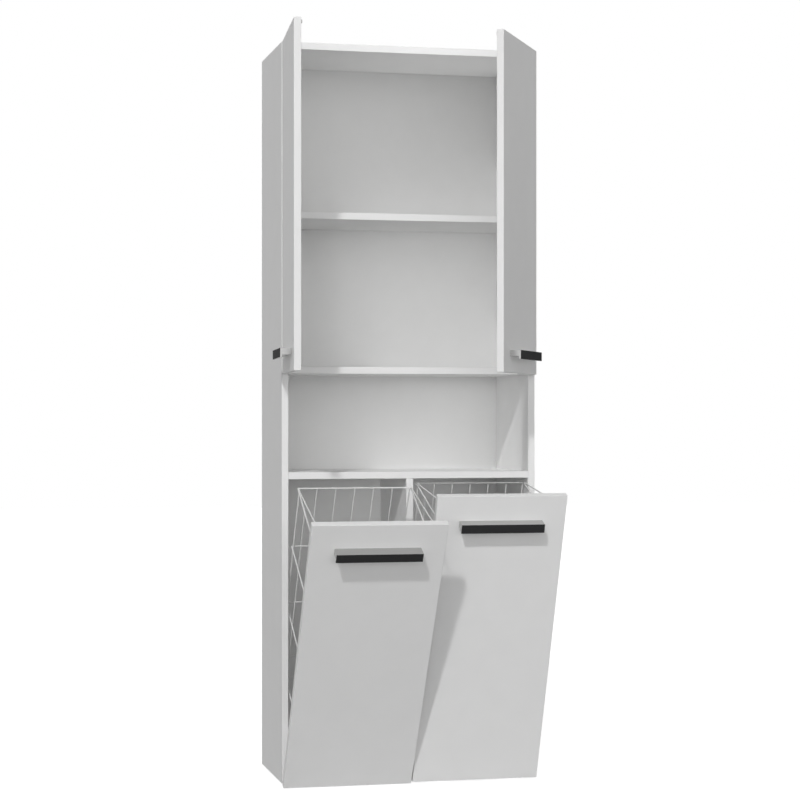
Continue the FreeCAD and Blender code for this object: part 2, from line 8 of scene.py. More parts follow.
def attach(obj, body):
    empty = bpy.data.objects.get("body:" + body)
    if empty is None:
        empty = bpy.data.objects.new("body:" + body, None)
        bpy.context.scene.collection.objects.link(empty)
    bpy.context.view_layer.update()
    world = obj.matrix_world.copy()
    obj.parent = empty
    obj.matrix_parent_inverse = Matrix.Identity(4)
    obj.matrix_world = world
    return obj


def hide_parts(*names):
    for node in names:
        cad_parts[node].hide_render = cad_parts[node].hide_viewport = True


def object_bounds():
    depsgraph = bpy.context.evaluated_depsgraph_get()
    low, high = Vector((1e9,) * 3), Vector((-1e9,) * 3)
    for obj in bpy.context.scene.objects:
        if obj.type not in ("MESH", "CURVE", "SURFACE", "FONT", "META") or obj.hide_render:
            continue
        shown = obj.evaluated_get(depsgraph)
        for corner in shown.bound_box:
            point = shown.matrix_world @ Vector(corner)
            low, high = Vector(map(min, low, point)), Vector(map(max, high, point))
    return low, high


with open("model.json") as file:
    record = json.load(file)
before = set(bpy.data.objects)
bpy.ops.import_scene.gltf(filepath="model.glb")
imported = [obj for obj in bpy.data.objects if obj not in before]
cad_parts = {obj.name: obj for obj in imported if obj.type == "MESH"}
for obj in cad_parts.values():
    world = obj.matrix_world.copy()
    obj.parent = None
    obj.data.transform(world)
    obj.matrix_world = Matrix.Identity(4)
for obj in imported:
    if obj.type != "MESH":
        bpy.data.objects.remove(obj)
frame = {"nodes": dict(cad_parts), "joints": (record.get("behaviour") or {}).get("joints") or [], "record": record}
cadBox = [list(corner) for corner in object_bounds()]
nodes = frame["nodes"]
scene = bpy.context.scene
print("frame loaded:", len(nodes), "nodes")


# what the frame says: the joint that moves each body, and the body and finish of each node
joints = {joint["child"]: joint for joint in frame["joints"]}
bodies = frame["record"]["behaviour"]["bodies"]
bodyOf = {node: body for body in bodies for node in bodies[body]}
slotOf = {row["node"]: row["material_slot"] for row in frame["record"]["subparts"]}


# pieces are shaped in the closed pose, and then turned to where their body stands at rest
def openAngle(body):
    return math.radians(-joints[body]["range_deg"][0])


def openTurn(body):
    if body not in joints:
        return Matrix.Identity(4)
    place = Matrix.Translation(Vector(joints[body]["pos_m"]))
    turn = Matrix.Rotation(openAngle(body), 4, Vector(joints[body]["axis"]))
    return place @ turn @ place.inverted()


def cornersOf(points):
    low = Vector([min(point[k] for point in points) for k in range(3)])
    high = Vector([max(point[k] for point in points) for k in range(3)])
    return low, high


def closedBox(node):
    back = openTurn(bodyOf[node]).inverted()
    return cornersOf([back @ vertex.co for vertex in nodes[node].data.vertices])


# camera at the photograph's viewing angle
cameraSet = {
    "place": (-1.1200, -4.8782, 0.8392),
    "pitch": 90.0,  # degrees, level
    "yaw": 13.034,  # degrees, turned to the right
    "sensor": 36.0,  # millimetres, as the lens
    "lens": 94.89,
    "lift": 0.0244,  # upward shift that keeps the verticals parallel
}


def makeCamera(look):
    data = bpy.data.cameras.new("photoCamera")
    data.sensor_width = look["sensor"]
    data.lens = look["lens"]
    data.shift_y = look["lift"]
    camera = bpy.data.objects.new("photoCamera", data)
    camera.location = look["place"]
    camera.rotation_euler = (math.radians(look["pitch"]), 0, math.radians(-look["yaw"]))
    scene.collection.objects.link(camera)
    scene.camera = camera


makeCamera(cameraSet)
print("camera placed")


# a key from the upper left front, wide soft boxes all round, and a white surround
lightSet = {
    "towardsKey": (-0.349, -0.727, 0.589),
    "keyStrength": 1.24,
    "keySpread": 3.0,  # degrees, softens the shadow edges
    "room": 0.06,  # even light from all sides
    "softBoxes": {  # direction of each box, strength, tightness
        "lowFront": ((0.0, -0.9, -0.45), 4.45, 4.0),
        "leftFront": ((-0.7, -0.7, 0.0), 0.3, 4.0),
        "above": ((0.0, 0.0, 1.0), 0.2, 2.0),
        "behind": ((0.0, 1.0, 0.15), 1.2, 6.0),
        "rightBack": ((0.8, 0.6, 0.1), 0.3, 6.0),
    },
    "white": (1.0, 1.0, 1.0),
}
offKey = bpy.data.collections.new("offKey")  # what the key light passes by


def opaque(colour):
    return tuple(colour) + (1.0,)


def mathNode(tree, operation, first, second):
    node = tree.nodes.new("ShaderNodeMath")
    node.operation = operation
    for socket, value in zip(node.inputs, (first, second)):
        if isinstance(value, float):
            socket.default_value = value
        else:
            tree.links.new(value, socket)
    return node.outputs[0]


def seenDirectly(tree):
    # 1 for what the camera, a shine or a clear pad sees, 0 for light that falls on a surface
    path = tree.nodes.new("ShaderNodeLightPath")
    either = mathNode(tree, "MAXIMUM", path.outputs["Is Camera Ray"], path.outputs["Is Glossy Ray"])
    return mathNode(tree, "MAXIMUM", either, path.outputs["Is Transmission Ray"])


def softBox(tree, sky, towards, strength, tightness):
    facing = tree.nodes.new("ShaderNodeVectorMath")
    facing.operation = "DOT_PRODUCT"
    facing.inputs[1].default_value = Vector(towards).normalized()
    tree.links.new(sky, facing.inputs[0])
    ahead = mathNode(tree, "MAXIMUM", facing.outputs["Value"], 0.0)
    lobe = mathNode(tree, "POWER", ahead, tightness)
    return mathNode(tree, "MULTIPLY", lobe, strength)


def makeKey(look):
    sun = bpy.data.lights.new("keyLight", "SUN")
    sun.energy = look["keyStrength"]
    sun.angle = math.radians(look["keySpread"])
    lamp = bpy.data.objects.new("keyLight", sun)
    lamp.rotation_euler = Vector(look["towardsKey"]).to_track_quat("Z", "Y").to_euler()
    lamp.light_linking.receiver_collection = offKey
    scene.collection.objects.link(lamp)


def makeRoom(look):
    world = bpy.data.worlds.new("room")
    scene.world = world
    world.use_nodes = True
    tree = world.node_tree
    tree.nodes.clear()
    sky = tree.nodes.new("ShaderNodeTexCoord").outputs["Generated"]
    total = look["room"]
    for towards, strength, tightness in look["softBoxes"].values():
        total = mathNode(tree, "ADD", softBox(tree, sky, towards, strength, tightness), total)
    boxes = tree.nodes.new("ShaderNodeBackground")
    boxes.inputs["Color"].default_value = opaque(look["white"])
    tree.links.new(total, boxes.inputs["Strength"])
    surround = tree.nodes.new("ShaderNodeBackground")
    surround.inputs["Color"].default_value = opaque(look["white"])
    mix = tree.nodes.new("ShaderNodeMixShader")
    out = tree.nodes.new("ShaderNodeOutputWorld")
    tree.links.new(seenDirectly(tree), mix.inputs[0])
    tree.links.new(boxes.outputs[0], mix.inputs[1])
    tree.links.new(surround.outputs[0], mix.inputs[2])
    tree.links.new(mix.outputs[0], out.inputs["Surface"])


def keepOffKey(item):
    offKey.objects.link(item)
    for row in offKey.collection_objects:
        row.light_linking.link_state = "EXCLUDE"


makeKey(lightSet)
makeRoom(lightSet)
scene.view_settings.view_transform = "Standard"
keepOffKey(nodes["upper_back_sheet"])  # evenly lit, with no patch of key light
print("lights set")


# floor that looks white and keeps a faint shadow
floorSet = {"size": 30.0, "colour": (0.42, 0.42, 0.42), "glow": (0.90, 0.90, 0.90)}


def makeFloor(look):
    half = look["size"] / 2
    corners = [(-half, -half, 0), (half, -half, 0), (half, half, 0), (-half, half, 0)]
    mesh = bpy.data.meshes.new("floor")
    mesh.from_pydata(corners, [], [(0, 1, 2, 3)])
    floor = bpy.data.objects.new("floor", mesh)
    floor.location.z = cadBox[0][2]
    scene.collection.objects.link(floor)
    material = bpy.data.materials.new("floorPaint")
    material.use_nodes = True
    tree = material.node_tree
    tree.nodes.clear()
    matt = tree.nodes.new("ShaderNodeBsdfDiffuse")
    matt.inputs["Color"].default_value = opaque(look["colour"])
    glow = tree.nodes.new("ShaderNodeEmission")
    glow.inputs["Color"].default_value = opaque(look["glow"])
    tree.links.new(seenDirectly(tree), glow.inputs["Strength"])
    both = tree.nodes.new("ShaderNodeAddShader")
    out = tree.nodes.new("ShaderNodeOutputMaterial")
    tree.links.new(matt.outputs[0], both.inputs[0])
    tree.links.new(glow.outputs[0], both.inputs[1])
    tree.links.new(both.outputs[0], out.inputs["Surface"])
    mesh.materials.append(material)


makeFloor(floorSet)
print("floor laid")


# small helpers for node materials
def newMaterial(name):
    material = bpy.data.materials.new(name)
    material.use_nodes = True
    tree = material.node_tree
    tree.nodes.clear()
    shader = tree.nodes.new("ShaderNodeBsdfPrincipled")
    out = tree.nodes.new("ShaderNodeOutputMaterial")
    tree.links.new(shader.outputs[0], out.inputs["Surface"])
    coords = tree.nodes.new("ShaderNodeTexCoord")
    return material, tree, shader, coords.outputs["Object"]


def noise(tree, place, size, detail, stretch=(1.0, 1.0, 1.0), turn=0.0, rough=0.5):
    mapping = tree.nodes.new("ShaderNodeMapping")
    mapping.inputs["Scale"].default_value = stretch
    mapping.inputs["Rotation"].default_value = (0, 0, turn)
    texture = tree.nodes.new("ShaderNodeTexNoise")
    texture.inputs["Scale"].default_value = 1.0 / size
    texture.inputs["Detail"].default_value = detail
    texture.inputs["Roughness"].default_value = rough
    tree.links.new(place, mapping.inputs["Vector"])
    tree.links.new(mapping.outputs[0], texture.inputs["Vector"])
    return texture.outputs["Fac"]


def ramp(tree, value, low, high, start=0.3, stop=0.7):
    node = tree.nodes.new("ShaderNodeValToRGB")
    node.color_ramp.elements[0].position = start
    node.color_ramp.elements[1].position = stop
    node.color_ramp.elements[0].color = opaque(low)
    node.color_ramp.elements[1].color = opaque(high)
    tree.links.new(value, node.inputs[0])
    return node.outputs[0]


def spread(tree, value, low, high):
    node = tree.nodes.new("ShaderNodeMapRange")
    node.inputs["To Min"].default_value = low
    node.inputs["To Max"].default_value = high
    tree.links.new(value, node.inputs["Value"])
    return node.outputs[0]


def bump(tree, height, strength, depth):
    node = tree.nodes.new("ShaderNodeBump")
    node.inputs["Strength"].default_value = strength
    node.inputs["Distance"].default_value = depth
    tree.links.new(height, node.inputs["Height"])
    return node.outputs[0]


def tint(tree, shader, texture, look):
    tree.links.new(ramp(tree, texture, look["deep"], look["pale"]), shader.inputs["Base Color"])


def polish(tree, shader, texture, look):
    tree.links.new(spread(tree, texture, *look["gloss"]), shader.inputs["Roughness"])


def emboss(tree, shader, texture, look):
    tree.links.new(bump(tree, texture, *look["bump"]), shader.inputs["Normal"])


def cover(tree, shader, texture, look):
    tint(tree, shader, texture, look)
    polish(tree, shader, texture, look)
    emboss(tree, shader, texture, look)


# white melamine: a barely uneven white, a fine pearl grain, satin
laminateLook = {
    "pale": (0.92, 0.92, 0.917),
    "deep": (0.905, 0.905, 0.902),
    "mottle": {"size": 0.06, "detail": 3.0},
    "grain": {"size": 0.0011, "detail": 2.0},
    "gloss": (0.48, 0.60),  # from the glossiest to the dullest place
    "bump": (0.25, 0.00005),  # strength, and depth in metres
    "shine": 0.12,
}


def makeLaminate(name, look):
    material, tree, shader, place = newMaterial(name)
    grain = noise(tree, place, **look["grain"])
    tint(tree, shader, noise(tree, place, **look["mottle"]), look)
    polish(tree, shader, grain, look)
    emboss(tree, shader, grain, look)
    shader.inputs["Specular IOR Level"].default_value = look["shine"]
    return material


# thin lacquered board: white towards the inside, bare brown fibre towards the wall
backSheetLook = {
    "white": (0.845, 0.845, 0.841),
    "whiteDeep": (0.83, 0.83, 0.826),
    "mottle": {"size": 0.05, "detail": 3.0},
    "brown": (0.43, 0.305, 0.19),
    "brownDeep": (0.27, 0.18, 0.108),
    "brownRange": (0.25, 0.75),
    "fibre": {"size": 0.018, "detail": 9.0, "stretch": (1.0, 1.0, 1.8), "rough": 0.74},
    "towardsWall": 0.5,  # a face with more of its normal along Y is bare
    "gloss": (0.48, 0.8),  # lacquered, bare
    "bump": (0.15, 0.0001),
    "shine": 0.12,
}
colourSockets = {"first": 6, "second": 7, "result": 2}  # of a Mix node set to colours


def makeBackSheet(name, look):
    material, tree, shader, place = newMaterial(name)
    white = ramp(tree, noise(tree, place, **look["mottle"]), look["whiteDeep"], look["white"])
    fibre = noise(tree, place, **look["fibre"])
    brown = ramp(tree, fibre, look["brownDeep"], look["brown"], *look["brownRange"])
    facing = tree.nodes.new("ShaderNodeNewGeometry")
    split = tree.nodes.new("ShaderNodeSeparateXYZ")
    tree.links.new(facing.outputs["True Normal"], split.inputs[0])
    bare = mathNode(tree, "GREATER_THAN", split.outputs["Y"], look["towardsWall"])
    mix = tree.nodes.new("ShaderNodeMix")
    mix.data_type = "RGBA"
    tree.links.new(bare, mix.inputs["Factor"])
    tree.links.new(white, mix.inputs[colourSockets["first"]])
    tree.links.new(brown, mix.inputs[colourSockets["second"]])
    tree.links.new(mix.outputs[colourSockets["result"]], shader.inputs["Base Color"])
    polish(tree, shader, bare, look)
    emboss(tree, shader, fibre, look)
    shader.inputs["Specular IOR Level"].default_value = look["shine"]
    return material


# anodised metal: pale and satin, with fine lines along the bar
brightMetalLook = {
    "pale": (0.60, 0.60, 0.595),
    "deep": (0.52, 0.52, 0.515),
    "lines": {"size": 0.0006, "detail": 3.0, "stretch": (0.02, 1.0, 1.0)},
    "gloss": (0.24, 0.36),
    "bump": (0.08, 0.00003),
}


def makeBrightMetal(name, look, turn):
    material, tree, shader, place = newMaterial(name)
    cover(tree, shader, noise(tree, place, turn=turn, **look["lines"]), look)
    shader.inputs["Metallic"].default_value = 1.0
    return material


# satin black plate
blackPlateLook = {
    "pale": (0.044, 0.044, 0.045),
    "deep": (0.031, 0.031, 0.032),
    "grain": {"size": 0.0007, "detail": 3.0},
    "gloss": (0.6, 0.7),
    "bump": (0.2, 0.00003),
    "shine": 0.012,
}


def makeBlackPlate(name, look):
    material, tree, shader, place = newMaterial(name)
    cover(tree, shader, noise(tree, place, **look["grain"]), look)
    shader.inputs["Specular IOR Level"].default_value = look["shine"]
    return material


# dipped white coat on wire: glossy, with slow thick and thin places
coatedWireLook = {
    "pale": (0.87, 0.87, 0.865),
    "deep": (0.82, 0.82, 0.815),
    "runs": {"size": 0.012, "detail": 3.0},
    "gloss": (0.24, 0.36),
    "bump": (0.12, 0.0002),
}


def makeCoatedWire(name, look):
    material, tree, shader, place = newMaterial(name)
    cover(tree, shader, noise(tree, place, **look["runs"]), look)
    return material


# zinc-plated steel: cool grey with cloudy spangle and faint tooling lines, and a duller cast kind
zincLook = {
    "pale": (0.68, 0.68, 0.68),
    "deep": (0.52, 0.53, 0.55),
    "spangle": {"size": 0.004, "detail": 4.0},
    "lines": {"size": 0.0005, "detail": 2.0, "stretch": (1.0, 1.0, 0.05)},
    "gloss": (0.26, 0.42),
    "bump": (0.08, 0.00003),
}
castZincLook = dict(zincLook, pale=(0.58, 0.58, 0.59), gloss=(0.40, 0.55))


def makeZinc(name, look):
    material, tree, shader, place = newMaterial(name)
    lines = noise(tree, place, **look["lines"])
    tint(tree, shader, noise(tree, place, **look["spangle"]), look)
    polish(tree, shader, lines, look)
    emboss(tree, shader, lines, look)
    shader.inputs["Metallic"].default_value = 1.0
    return material


# plain beech for the dowels
beechLook = {
    "pale": (0.70, 0.52, 0.33),
    "deep": (0.52, 0.35, 0.20),
    "grain": {"size": 0.0009, "detail": 4.0, "stretch": (0.1, 1.0, 1.0)},
    "rough": 0.7,
    "bump": (0.3, 0.0001),
}


def makeBeech(name, look):
    material, tree, shader, place = newMaterial(name)
    grain = noise(tree, place, **look["grain"])
    tint(tree, shader, grain, look)
    emboss(tree, shader, grain, look)
    shader.inputs["Roughness"].default_value = look["rough"]
    return material


# moulded plastic and soft pads: fine spark texture
plasticLook = {
    "pale": (0.84, 0.84, 0.835),
    "deep": (0.80, 0.80, 0.795),
    "spark": {"size": 0.0008, "detail": 2.0},
    "gloss": (0.42, 0.55),
    "bump": (0.2, 0.00005),
    "clear": 0.0,
}
padLook = {
    "pale": (0.90, 0.90, 0.88),
    "deep": (0.84, 0.84, 0.82),
    "spark": {"size": 0.0012, "detail": 2.0},
    "gloss": (0.30, 0.42),
    "bump": (0.2, 0.00005),
    "clear": 0.6,
}


def makePlastic(name, look):
    material, tree, shader, place = newMaterial(name)
    cover(tree, shader, noise(tree, place, **look["spark"]), look)
    shader.inputs["Transmission Weight"].default_value = look["clear"]
    return material


# a finish for each slot of the record, and drawn metal whose lines follow each bar
finishes = {
    "white_laminate": makeLaminate("whiteLaminate", laminateLook),
    "white_back_sheet": makeBackSheet("lacqueredBackSheet", backSheetLook),
    "white_wire": makeCoatedWire("coatedWire", coatedWireLook),
    "black_handle_plate": makeBlackPlate("satinBlackPlate", blackPlateLook),
    "zinc_steel": makeZinc("zincSteel", zincLook),
    "cast_zinc": makeZinc("castZinc", castZincLook),
    "beech": makeBeech("plainBeech", beechLook),
    "white_plastic": makePlastic("mouldedPlastic", plasticLook),
    "clear_rubber": makePlastic("softPad", padLook),
}
brightMetal = {}
for body in joints:
    lineTurn = -openAngle(body) * joints[body]["axis"][2]
    brightMetal[body] = makeBrightMetal("drawnMetal_" + body, brightMetalLook, lineTurn)


def finishFor(node):
    slot = slotOf[node]
    return brightMetal[bodyOf[node]] if slot == "bright_handle_body" else finishes[slot]


for name, part in nodes.items():
    part.data.materials.clear()
    part.data.materials.append(finishFor(name))
print("finishes on", len(nodes), "nodes")


# a finished piece: mesh in the closed pose, turned to rest, riding on its body
def addPiece(name, mesh, body, replaced, slotNode):
    mesh.transform(openTurn(body))
    piece = bpy.data.objects.new(name, mesh)
    scene.collection.objects.link(piece)
    mesh.materials.clear()
    mesh.materials.append(finishFor(slotNode))
    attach(piece, body)
    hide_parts(*replaced)
    return piece


# meshes out of shapes, with softened edges and with flat or smooth faces
shapeSet = {
    "weld": 0.00001,  # points nearer than this are one
    "profile": 0.5,  # a softened edge is an arc
    "crease": 35.0,  # degrees, a sharper edge stays sharp
    "flat": 0.9999,  # a face with this much of its normal along one axis is flat
}


def meshFrom(shape, name):
    mesh = bpy.data.meshes.new(name)
    shape.to_mesh(mesh)
    shape.free()
    return mesh


def settledMesh(holder, name):
    bpy.context.view_layer.update()
    settled = holder.evaluated_get(bpy.context.evaluated_depsgraph_get())
    mesh = bpy.data.meshes.new_from_object(settled)
    mesh.name = name
    return mesh


def closedShape(node):
    shape = bmesh.new()
    shape.from_mesh(nodes[node].data)
    shape.transform(openTurn(bodyOf[node]).inverted())
    bmesh.ops.remove_doubles(shape, verts=shape.verts[:], dist=shapeSet["weld"])
    return shape


def soften(shape, edges, offset, rounds):
    profile = shapeSet["profile"]
    bmesh.ops.bevel(shape, geom=edges, offset=offset, segments=rounds, profile=profile, affect="EDGES")


def shaded(mesh):
    mesh.shade_smooth()
    mesh.set_sharp_from_angle(angle=math.radians(shapeSet["crease"]))
    return mesh


def banded(mesh):
    # flat faces stay flat, softened edges and bores are smooth
    for face in mesh.polygons:
        face.use_smooth = max(abs(share) for share in face.normal) < shapeSet["flat"]
    return mesh


# wire baskets: bent rings, a sloping rim wire, and U-shaped wires down, along the floor and up again
basketLook = {
    "frameWire": 0.0016,  # radius
    "meshWire": 0.0011,
    "wireRounds": 3,  # how finely a wire is rounded
    "uprightGaps": 6,
    "sideGaps": 3,
    "ringCount": 4,
    "ringBend": 0.0034,
    "meshBend": 0.006,
    "bendSteps": 6,
    "endOver": 0.0012,  # how far a wire's end stands past its weld
}


def bentPath(points, radius, steps, closed):
    corners = [Vector(point) for point in points]
    count = len(corners)
    path = []
    for k in range(count):
        corner = corners[k]
        if not closed and k in (0, count - 1):
            path.append(corner)
            continue
        before = (corners[k - 1] - corner).normalized()
        after = (corners[(k + 1) % count] - corner).normalized()
        half = before.angle(after) / 2
        reach = radius / math.tan(half)
        centre = corner + (before + after).normalized() * (radius / math.sin(half))
        start = corner + before * reach - centre
        stop = corner + after * reach - centre
        sweep = start.angle(stop)
        for step in range(steps + 1):
            share = step / steps
            startPart = start * math.sin((1 - share) * sweep)
            stopPart = stop * math.sin(share * sweep)
            path.append(centre + (startPart + stopPart) / math.sin(sweep))
    return path


def wireMesh(name, wires, rounds):
    curve = bpy.data.curves.new(name, "CURVE")
    curve.dimensions = "3D"
    curve.bevel_resolution = rounds
    curve.bevel_depth = 1.0  # times the radius at each point
    curve.use_fill_caps = True
    for path, radius, closed in wires:
        spline = curve.splines.new("POLY")
        spline.points.add(len(path) - 1)
        for point, spot in zip(spline.points, path):
            point.co = tuple(spot) + (1.0,)
            point.radius = radius
        spline.use_cyclic_u = closed
        spline.use_smooth = True
    holder = bpy.data.objects.new(name, curve)
    scene.collection.objects.link(holder)
    mesh = settledMesh(holder, name)
    bpy.data.objects.remove(holder)
    bpy.data.curves.remove(curve)
    return mesh


def makeBasket(side, look):
    body = side + "_hamper"
    backLow, backHigh = closedBox(body + "_basket_back")
    frontLow, frontHigh = closedBox(body + "_basket_front")
    thick, thin = look["frameWire"], look["meshWire"]
    bend, meshBend, steps = look["ringBend"], look["meshBend"], look["bendSteps"]
    left, right = backLow.x + thick, backHigh.x - thick
    near, far = (frontLow.y + frontHigh.y) / 2, (backLow.y + backHigh.y) / 2
    floor, rim, peak = backLow.z + thick, backHigh.z - thick, frontHigh.z - thick
    wires = []
    for ring in range(look["ringCount"]):
        z = floor + (rim - floor) * ring / (look["ringCount"] - 1)
        corners = [(left, near, z), (right, near, z), (right, far, z), (left, far, z)]
        wires.append((bentPath(corners, bend, steps, True), thick, True))
    rearY, rearZ = far - bend, rim + thick  # where the sloping wire meets the top ring
    corners = [(left, rearY, rearZ), (left, near, peak), (right, near, peak), (right, rearY, rearZ)]
    wires.append((bentPath(corners, bend, steps, False), thick, False))
    nest = bend - (bend - 2 * thick) / math.sqrt(2)  # a post lies in the hollow of each bent corner
    for x in (left + nest, right - nest):
        for y, top in ((near + nest, peak), (far - nest, rim)):
            wires.append(([Vector((x, y, floor)), Vector((x, y, top))], thick, False))
    inside, over = thick + thin, look["endOver"]
    nearIn, farIn = near + inside, far - inside
    for step in range(1, look["uprightGaps"]):
        x = left + (right - left) * step / look["uprightGaps"]
        corners = [(x, nearIn, peak + over), (x, nearIn, floor), (x, farIn, floor), (x, farIn, rim + over)]
        wires.append((bentPath(corners, meshBend, steps, False), thin, False))
    leftIn, rightIn = left + inside, right - inside
    low, high = floor + 2 * thin, rim + over  # these lie on the wires before
    for step in range(1, look["sideGaps"]):
        y = near + (far - near) * step / look["sideGaps"]
        corners = [(leftIn, y, high), (leftIn, y, low), (rightIn, y, low), (rightIn, y, high)]
        wires.append((bentPath(corners, meshBend, steps, False), thin, False))
    mesh = wireMesh(body + "_wire_basket", wires, look["wireRounds"])
    replaced = [body + "_basket_" + part for part in ("back", "sides", "front", "base")]
    addPiece(body + "_wire_basket", mesh, body, replaced, body + "_basket_back")


for side in ("left", "right"):
    makeBasket(side, basketLook)
print("baskets bent")


# handles: an angle of drawn metal with softened edges and a black plate on its front
handleLook = {
    "soften": 0.0007,
    "plateSoften": 0.0003,
    "rounds": 3,
    "flange": 0.005,
    "web": 0.014,
}


def extruded(name, outline, start, stop, offset, rounds):
    shape = bmesh.new()
    near = [shape.verts.new((start, y, z)) for y, z in outline]
    far = [shape.verts.new((stop, y, z)) for y, z in outline]
    shape.faces.new(near)
    shape.faces.new(list(reversed(far)))
    count = len(outline)
    for k in range(count):
        after = (k + 1) % count
        shape.faces.new((near[after], near[k], far[k], far[after]))
    bmesh.ops.recalc_face_normals(shape, faces=shape.faces)
    soften(shape, shape.edges[:], offset, rounds)
    return meshFrom(shape, name)


def makeBar(body, look):
    node, name = body + "_handle", body + "_bar"
    low, high = closedBox(node)
    flangeBack = low.y + look["flange"]
    webLow = high.z - look["web"]
    outline = [(low.y, low.z), (flangeBack, low.z), (flangeBack, webLow)]
    outline += [(high.y, webLow), (high.y, high.z), (low.y, high.z)]
    mesh = extruded(name, outline, low.x, high.x, look["soften"], look["rounds"])
    bar = addPiece(name, mesh, body, [node], node)
    keepOffKey(bar)  # evenly lit, with no glare


def makePlate(body, look):
    node, name = body + "_handle_face", body + "_bar_plate"
    low, high = closedBox(node)
    outline = [(low.y, low.z), (high.y, low.z), (high.y, high.z), (low.y, high.z)]
    mesh = extruded(name, outline, low.x, high.x, look["plateSoften"], look["rounds"])
    addPiece(name, mesh, body, [node], node)


for body in joints:
    makeBar(body, handleLook)
    makePlate(body, handleLook)
print("handles fitted")


# turned and cut shapes for the boards and their fittings
def turned(name, profile, sides):
    shape = bmesh.new()
    rings = []
    for radius, height in profile:
        turns = [2 * math.pi * k / sides for k in range(sides)] if radius else [0.0]
        ring = [(radius * math.cos(turn), radius * math.sin(turn), height) for turn in turns]
        rings.append([shape.verts.new(spot) for spot in ring])
    for lower, upper in zip(rings, rings[1:]):
        for k in range(sides):
            pairs = [(ring[k % len(ring)], ring[(k + 1) % len(ring)]) for ring in (lower, upper)]
            corners = dict.fromkeys([pairs[0][0], pairs[0][1], pairs[1][1], pairs[1][0]])
            shape.faces.new(list(corners))  # three corners where a ring is a point
    bmesh.ops.recalc_face_normals(shape, faces=shape.faces)
    return meshFrom(shape, name)


def crossCutter(width, reach, top, bottom, taper):
    plus = []
    arm = [(width, reach), (width, width), (reach, width)]
    for quarter in range(4):
        plus += arm
        arm = [(y, -x) for x, y in arm]
    shape = bmesh.new()
    upper = [shape.verts.new((x, y, top)) for x, y in plus]
    lower = [shape.verts.new((x * taper, y * taper, bottom)) for x, y in plus]
    shape.faces.new(upper)
    shape.faces.new(lower)
    for k in range(len(plus)):
        after = (k + 1) % len(plus)
        shape.faces.new((upper[k], upper[after], lower[after], lower[k]))
    bmesh.ops.recalc_face_normals(shape, faces=shape.faces)
    return meshFrom(shape, "crossCutter")


def cutAway(mesh, cutter):
    block = bpy.data.objects.new("block", mesh)
    tool = bpy.data.objects.new("tool", cutter)
    for item in (block, tool):
        scene.collection.objects.link(item)
    cut = block.modifiers.new("cut", "BOOLEAN")
    cut.object = tool
    cut.operation = "DIFFERENCE"
    cut.solver = "EXACT"
    result = settledMesh(block, mesh.name)
    for item, used in ((block, mesh), (tool, cutter)):
        bpy.data.objects.remove(item)
        bpy.data.meshes.remove(used)
    return result


def joined(name, parts):
    shape = bmesh.new()
    for mesh, place in parts:
        copy = mesh.copy()
        copy.transform(place)
        shape.from_mesh(copy)
        bpy.data.meshes.remove(copy)
    return meshFrom(shape, name)


def loosePieces(node):
    # the separate solids of a node, each as points and faces in the closed pose
    shape = closedShape(node)
    found, seen = [], set()
    for start in shape.verts:
        if start in seen:
            continue
        seen.add(start)
        island = [start]
        for here in island:  # grows as the solid is walked over
            for link in here.link_edges:
                there = link.other_vert(here)
                if there not in seen:
                    seen.add(there)
                    island.append(there)
        points = [vertex.co.copy() for vertex in island]
        sides = dict.fromkeys(face for vertex in island for face in vertex.link_faces)
        faces = [(face.normal.copy(), face.calc_area()) for face in sides]
        found.append((points, faces))
    shape.free()
    return found


# cam locks: turned pots with a cross in the top, sunk a hair into pockets in the boards
camLook = {
    "sides": 40,
    "play": 0.00015,
    "sunk": 0.0003,
    "chamfer": 0.0005,
    "crossWidth": 0.0009,  # half of each arm
    "crossReach": 0.0042,
    "crossDepth": 0.0028,
    "crossTop": 1.1,  # share of the height where the cutter starts
    "taper": 0.8,
    "firstTurn": 25,  # degrees
    "turnStep": 7,
}
camBoards = ("top_panel", "cupboard_floor", "niche_floor", "bottom_panel")
camPlaces = [cornersOf(points) for points, faces in loosePieces("cam_locks")]


def boardOfCam(low, high):
    # the board that a lock sits in, and whether the lock's top faces up
    middle = (low + high) / 2
    for node in camBoards:
        boardLow, boardHigh = closedBox(node)
        if boardLow.z < middle.z < boardHigh.z:
            return node, boardHigh.z - high.z < low.z - boardLow.z


def camPot(radius, height, look):
    chamfer = look["chamfer"]
    profile = [(0, 0), (radius, 0), (radius, height - chamfer), (radius - chamfer, height), (0, height)]
    top, bottom = height * look["crossTop"], height - look["crossDepth"]
    cutter = crossCutter(look["crossWidth"], look["crossReach"], top, bottom, look["taper"])
    return cutAway(turned("cam", profile, look["sides"]), cutter)


def makeCams(look):
    parts = []
    for number, (low, high) in enumerate(camPlaces):
        radius = (high.y - low.y) / 2 - look["play"]
        height = high.z - low.z - look["sunk"]
        board, upward = boardOfCam(low, high)
        centre = (low + high) / 2
        place = Matrix.Translation((centre.x, centre.y, low.z if upward else high.z))
        flip = Matrix.Identity(4) if upward else Matrix.Rotation(math.pi, 4, "X")
        angle = math.radians(look["firstTurn"] + look["turnStep"] * number)
        turn = Matrix.Rotation(angle, 4, "Z")
        parts.append((camPot(radius, height, look), place @ flip @ turn))
    mesh = shaded(joined("cross_slotted_cams", parts))
    addPiece("cross_slotted_cams", mesh, "carcass", ["cam_locks"], "cam_locks")


makeCams(camLook)
print("cam locks fitted")


# carcass boards: edge bands leave softened edges, pockets are open for the cams
boardLook = {"soften": 0.0009, "rounds": 3, "pocketSides": 48, "overrun": 0.002}
boards = {  # directions of the edges that are softened
    "left_side_panel": "yz",
    "right_side_panel": "yz",
    "bay_divider": "z",
    "cupboard_shelf": "x",
    "top_panel": "x",
    "cupboard_floor": "x",
    "niche_floor": "x",
    "bottom_panel": "x",
}


